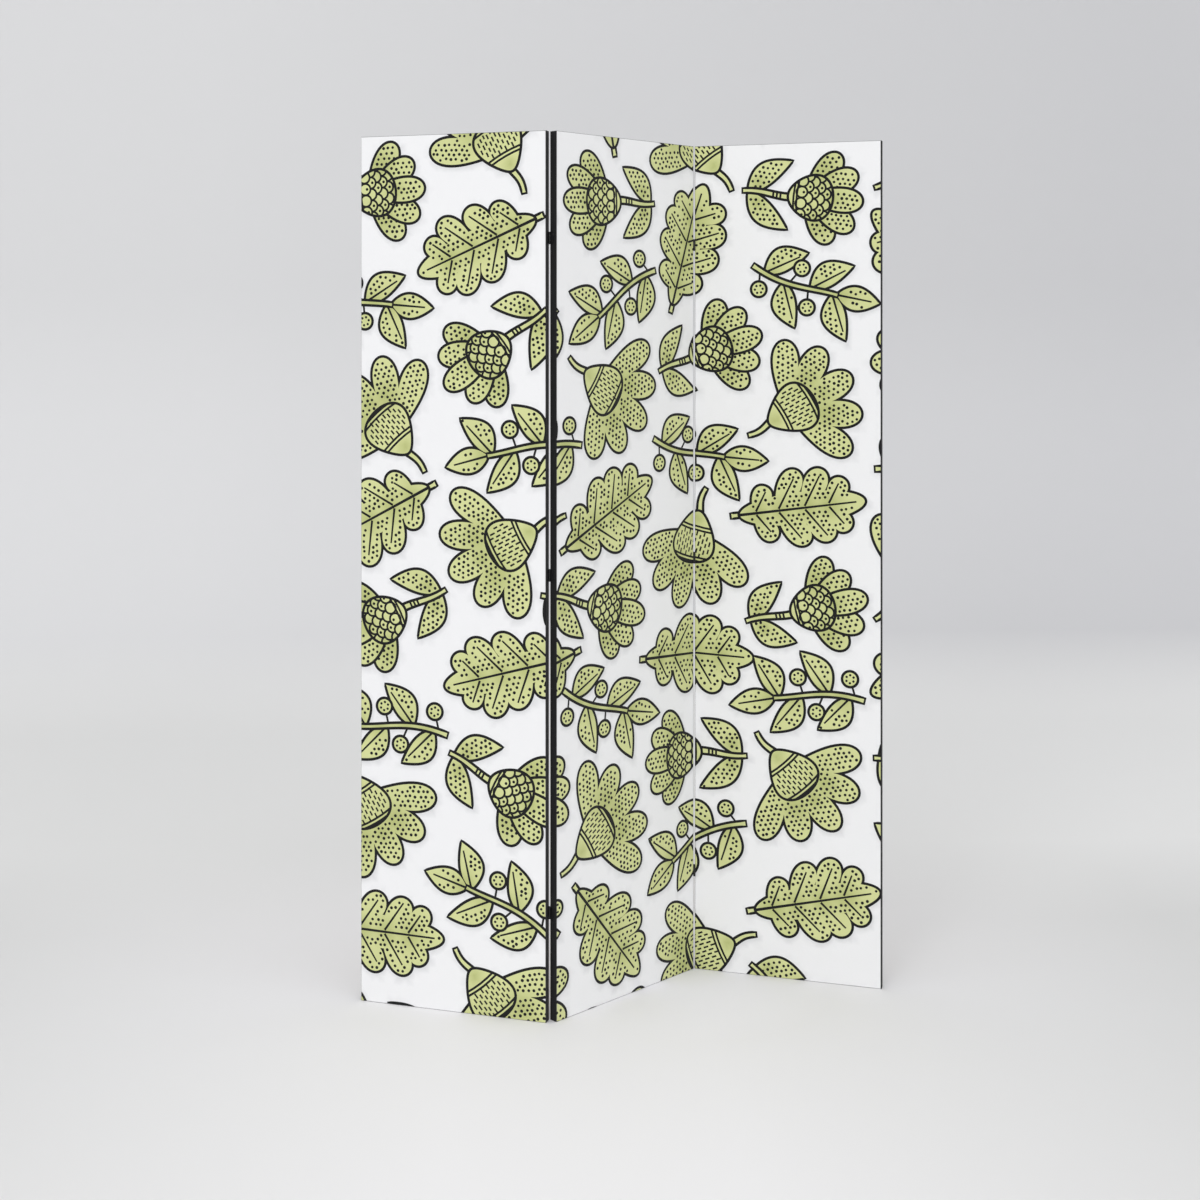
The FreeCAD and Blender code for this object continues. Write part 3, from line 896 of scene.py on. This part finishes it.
def made_plain(name, panel, rule, material, points, lines=(), facing=()):
    """Runs a geometry tree over points and lines on a panel, and keeps the result as a plain mesh on the panel."""
    guide = put_in_scene(f"{name}_guide", bpy.data.meshes.new(f"{name}_guide"))
    guide.data.from_pydata(points, lines, [])
    if facing:
        layer = guide.data.attributes.new("facing", "FLOAT_VECTOR", "POINT")
        layer.data.foreach_set("vector", np.array(facing, np.float32).ravel())
    modifier = guide.modifiers.new("rule", "NODES")
    modifier.node_group = rule
    sockets = {s.name: s.identifier for s in rule.interface.items_tree if s.in_out == "INPUT"}
    modifier[sockets["Material"]] = material
    seen = guide.evaluated_get(bpy.context.evaluated_depsgraph_get())
    mesh = bpy.data.meshes.new_from_object(seen)
    mesh.name = name
    bpy.data.objects.remove(guide)
    mesh.transform(poses[panel])
    piece = put_in_scene(name, mesh)
    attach(piece, f"{panel}_panel")


stapling, given, wanted = shape_rule(
    "stapling", Pitch=staple_pitch, Crown=staple_crown, Wire=staple_wire, Leg=staple_leg
)
half_crown = times(stapling, given["Crown"], 0.5)
ends = (times(stapling, half_crown, -1.0), half_crown)
ends = [get(stapling, "ShaderNodeCombineXYZ", {"X": end}) for end in ends]
wire = get(stapling, "GeometryNodeCurvePrimitiveLine", {"Start": ends[0], "End": ends[1]})
wire = get(stapling, "GeometryNodeResampleCurve", {"Curve": wire, "Count": 4})
number = get(stapling, "GeometryNodeInputIndex")
away = times(stapling, work(stapling, "GREATER_THAN", number, 1.5), 2.0)
away = work(stapling, "SUBTRACT", away, 1.0)
from_middle = work(stapling, "ABSOLUTE", work(stapling, "SUBTRACT", number, 1.5))
driven = work(stapling, "GREATER_THAN", from_middle, 1.0)
down = times(stapling, driven, times(stapling, given["Leg"], -1.0))
bent = get(stapling, "ShaderNodeCombineXYZ", {"X": times(stapling, away, half_crown), "Y": down})
wire = get(stapling, "GeometryNodeSetPosition", {"Geometry": wire, "Position": bent})
wire = get(stapling, "GeometryNodeSetCurveNormal", {"Curve": wire}, mode="Z_UP")
section = {"Width": times(stapling, given["Wire"], 0.8), "Height": times(stapling, given["Wire"], 1.6)}
section = get(stapling, "GeometryNodeCurvePrimitiveQuadrilateral", section)
staple = {"Curve": wire, "Profile Curve": section, "Fill Caps": True}
staple = get(stapling, "GeometryNodeCurveToMesh", staple)
hem_line = get(stapling, "GeometryNodeMeshToCurve", {"Mesh": given["Geometry"]})
hem_line = {"Curve": hem_line, "Length": given["Pitch"]}
driven_at = get(stapling, "GeometryNodeResampleCurve", hem_line, mode="LENGTH")
lie = get(stapling, "GeometryNodeInputTangent")
lie = get(stapling, "FunctionNodeAlignRotationToVector", {"Vector": lie}, axis="X", pivot_axis="Y")
lie = slanted(stapling, lie, "Y", -staple_slant, staple_slant, seed=5)
set_out(stapling, driven_at, staple, lie, given["Material"], wanted["Geometry"])

for panel in panels:
    reach_x, reach_z = width / 2 - staple_setback, height - staple_setback
    back = depth / 2 + 0.4 * staple_wire
    lines = []
    for z in (staple_setback, reach_z):
        lines += [(-reach_x + first_staple, back, z), (reach_x - first_staple, back, z)]
    for x in (-reach_x, reach_x):
        lines += [(x, back, staple_setback + first_staple), (x, back, reach_z - first_staple)]
    pairs = [(0, 1), (2, 3), (4, 5), (6, 7)]
    made_plain(f"{panel}_panel_staples", panel, stapling, bright_steel, lines, pairs)


# Hinges. Three at each fold: two pressed steel leaves, stove-enamelled black, whose edges are rolled into knuckles
# round a plain steel pin. The inner leaf has two knuckles and holds the pin, the outer leaf turns between them.

folds = ("left", "right")
hinge_places = ("bottom", "centre", "top")
black_enamel = worn_metal("black_enamel", (26, 26, 28), (112, 110, 108), (0.38, 0.4), (0.0, 0.9))
pin_steel = worn_metal("pin_steel", (58, 57, 56), (150, 150, 152), (0.34, 0.28), (1.0, 1.0))

for fold in folds:
    for place in hinge_places:
        for part in ("inner_leaf", "outer_leaf"):
            nodes[f"{fold}_fold_{place}_{part}"].material_slots[0].material = black_enamel
        nodes[f"{fold}_fold_{place}_pin"].material_slots[0].material = pin_steel


# Hinge screws. Two in each leaf: black countersunk wood screws with a cross recess, driven through the canvas into
# the end of the frame.

screw_head = 0.0021
screw_shank = 0.00133
screw_length = 0.012
screw_rise = 0.00014
recess_breadth = 0.00055
recess_span = 0.0026
recess_depth = 0.0009
leaf_thickness = 0.001
screw_spacing = 0.014
screw_off_middle = 0.0019

screwing, given, wanted = shape_rule(
    "hinge screws",
    Head=screw_head,
    Shank=screw_shank,
    Length=screw_length,
    Rise=screw_rise,
    Recess_Breadth=recess_breadth,
    Recess_Span=recess_span,
    Recess_Depth=recess_depth,
)


def cone(top, bottom, length):
    sizes = {"Vertices": 24, "Radius Top": top, "Radius Bottom": bottom, "Depth": length}
    return get(screwing, "GeometryNodeMeshCone", sizes)


def joined(one, other):
    both = fit(screwing, "GeometryNodeMeshBoolean", {"Mesh 2": one}, operation="UNION", solver="EXACT")
    screwing.links.new(other, both.inputs["Mesh 2"])
    return both.outputs[0]


head = cone(times(screwing, given["Head"], 0.8), given["Head"], given["Rise"])
shank = cone(given["Shank"], times(screwing, given["Shank"], 0.4), given["Length"])
down = get(screwing, "ShaderNodeCombineXYZ", {"Z": times(screwing, given["Length"], -1.0)})
shank = get(screwing, "GeometryNodeTransform", {"Geometry": shank, "Translation": down})
cuts = []
for across, along in (("Recess Span", "Recess Breadth"), ("Recess Breadth", "Recess Span")):
    deep = times(screwing, given["Recess Depth"], 2.0)
    size = get(screwing, "ShaderNodeCombineXYZ", {"X": given[across], "Y": given[along], "Z": deep})
    cuts.append(get(screwing, "GeometryNodeMeshCube", {"Size": size}))
screw = {"Mesh 1": joined(head, shank), "Mesh 2": joined(*cuts)}
screw = get(screwing, "GeometryNodeMeshBoolean", screw, operation="DIFFERENCE", solver="EXACT")
facing = get(screwing, "GeometryNodeInputNamedAttribute", {"Name": "facing"}, data_type="FLOAT_VECTOR")
lie = get(screwing, "FunctionNodeAlignRotationToVector", {"Vector": facing}, axis="Z")
lie = slanted(screwing, lie, "Z", 0.0, 3.14, seed=11)
set_out(screwing, given["Geometry"], screw, lie, given["Material"], wanted["Geometry"])

# Fold, leaf, the panel that it is on, the panel's end (1 is the right one) and the side of the panel's middle where
# the screws sit (1 is behind it).
leaf_seats = (
    ("left", "outer", "left", 1, 1),
    ("left", "inner", "middle", -1, 1),
    ("right", "inner", "middle", 1, -1),
    ("right", "outer", "right", -1, -1),
)

for fold, part, panel, end, face in leaf_seats:
    holes = []
    for place in hinge_places:
        low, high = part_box(f"{fold}_fold_{place}_{part}_leaf")
        for step in (-0.5, 0.5):
            hole_x = end * (width / 2 + leaf_thickness)
            holes.append((hole_x, face * screw_off_middle, (low.z + high.z) / 2 + step * screw_spacing))
    name = f"{fold}_fold_{part}_leaf_screws"
    facing_out = [(end, 0, 0)] * len(holes)
    made_plain(name, panel, screwing, black_enamel, holes, facing=facing_out)


# Studio. A pale floor that curves up into a pale wall some way behind the screen, a large soft lamp at the front
# left, and an even pale sky. Floor and wall carry painted light and shade: painted shade darkens the wall to the
# right and low down, and the floor to the sides and, far back, on the left; painted light brightens the floor
# round the middle and at the foot of the inner corner between the middle and right panels.

wall_place = 3.9
wall_height = 9.0
cove_radius = 1.6
cove_steps = 16
floor_reach = 30.0

profile = [(-floor_reach, 0.0), (wall_place - cove_radius, 0.0)]
for k in range(1, cove_steps + 1):
    turn = math.pi / 2 * k / cove_steps
    profile.append((wall_place - cove_radius * (1 - math.sin(turn)), cove_radius * (1 - math.cos(turn))))
profile.append((wall_place, wall_height))
sweep = bpy.data.meshes.new("floor_and_wall")
points = [(x, y, z) for x in (-floor_reach, floor_reach) for y, z in profile]
count = len(profile)
sweep.from_pydata(points, [], [(k, k + count, k + count + 1, k + 1) for k in range(count - 1)])
sweep.polygons.foreach_set("use_smooth", [True] * (count - 1))
backdrop = put_in_scene("floor_and_wall", sweep)

# Painted light on the floor: lightest round the middle in front of the screen, shading off into painted shade to
# the sides.
lit_middle_floor = swatch(233, 232, 233)
shaded_side_floor = swatch(212, 212, 211)
# Painted light: a brighter patch on the floor at the foot of the inner corner between the middle and right panels,
# over the shade and the green bounce from the print that would fall there.
fold_foot_painted_light = swatch(239, 238, 243)
# Painted shade: far back the floor is darker on the left than on the right.
shaded_left_far_floor = swatch(219, 219, 218)
right_far_floor = swatch(226, 226, 225)
# Painted shade on the wall: it goes darker towards the right, away from the lamp, and a little darker below about a
# metre up.
left_wall = swatch(217, 217, 218)
shaded_right_wall = swatch(204, 204, 206)
floor_middle = -0.1
side_shade_span = (0.25, 1.4)
inner_corner = (0.15, 0.05, 0.0)
fold_foot_light_span = (0.3, 0.04)
far_floor_shade_span = (-1.5, 1.0)
front_to_far = (0.4, 1.0)
wall_shade_span = (-1.6, 2.6)
low_wall_shade = 0.97
low_wall_span = (0.1, 1.0)
floor_to_wall = (0.0, 0.2)

backdrop_paint_and_light, tree, shader = finish_coat("studio_paint_and_painted_light", Roughness=0.9, Specular_IOR_Level=0.1)
place = fit(tree, "ShaderNodeTexCoord").outputs["Object"]
right, behind, up = fit(tree, "ShaderNodeSeparateXYZ", {0: place}).outputs
# Painted shade: the wall darkens to the right, and a little below about a metre up.
wall = tint(tree, level(tree, right, *wall_shade_span), left_wall, shaded_right_wall)
wall = tint(tree, 1.0, wall, level(tree, up, *low_wall_span, low_wall_shade, 1.0), "MULTIPLY")
# Painted light and shade on the floor: lighter round the middle, darker to the sides.
aside = level(tree, work(tree, "ABSOLUTE", plus(tree, right, -floor_middle)), *side_shade_span)
floor = tint(tree, aside, lit_middle_floor, shaded_side_floor)
# Painted light at the foot of the panels' inner corner.
from_corner = fit(tree, "ShaderNodeVectorMath", {0: place, 1: inner_corner}, operation="DISTANCE").outputs["Value"]
floor = tint(tree, level(tree, from_corner, *fold_foot_light_span), floor, fold_foot_painted_light)
# Painted shade far back on the floor, deeper on the left.
far_floor = tint(tree, level(tree, right, *far_floor_shade_span), shaded_left_far_floor, right_far_floor)
floor = tint(tree, level(tree, behind, *front_to_far), floor, far_floor)
tree.links.new(tint(tree, level(tree, up, *floor_to_wall), floor, wall), shader.inputs["Base Color"])
sweep.materials.append(backdrop_paint_and_light)

softbox = bpy.data.lights.new("key", "AREA")
softbox.shape = "DISK"
softbox.size = 3.6
softbox.energy = 145.5
key = put_in_scene("key", softbox)
key.location = (-4.6, -8.1, 5.4)
screen_middle = Vector((0.0, 0.0, 0.9))
key.rotation_euler = (key.location - screen_middle).to_track_quat("Z", "Y").to_euler()
key.visible_camera = False

sky_grey = swatch(218, 219, 221)
world = bpy.data.worlds.new("sky")
world.use_nodes = True
sky = world.node_tree
even = sky.nodes["Background"]
even.inputs["Color"].default_value = (0.985, 0.99, 1.0, 1.0)
even.inputs["Strength"].default_value = 1.12
seen = fit(sky, "ShaderNodeBackground", {"Color": sky_grey, "Strength": 1.0})
rays = fit(sky, "ShaderNodeLightPath").outputs
direct = work(sky, "MAXIMUM", rays["Is Camera Ray"], rays["Is Glossy Ray"])
direct = work(sky, "MAXIMUM", direct, rays["Is Transmission Ray"])
either = get(sky, "ShaderNodeMixShader", {0: direct, 1: even.outputs[0], 2: seen.outputs[0]})
sky.links.new(either, sky.nodes["World Output"].inputs[0])
bpy.context.scene.world = world

picture_pixels = 1200
lens_drop = 266.01
eye = bpy.data.cameras.new("eye")
eye.lens = 49.438
eye.sensor_width = 36.0
eye.shift_y = -lens_drop / picture_pixels
camera = put_in_scene("eye", eye)
camera.location = (-0.22344, -3.46704, 1.38935)
camera.rotation_euler = (math.pi / 2, 0.0, math.radians(-2.829))
bpy.context.scene.camera = camera
bpy.context.scene.view_settings.view_transform = "Standard"
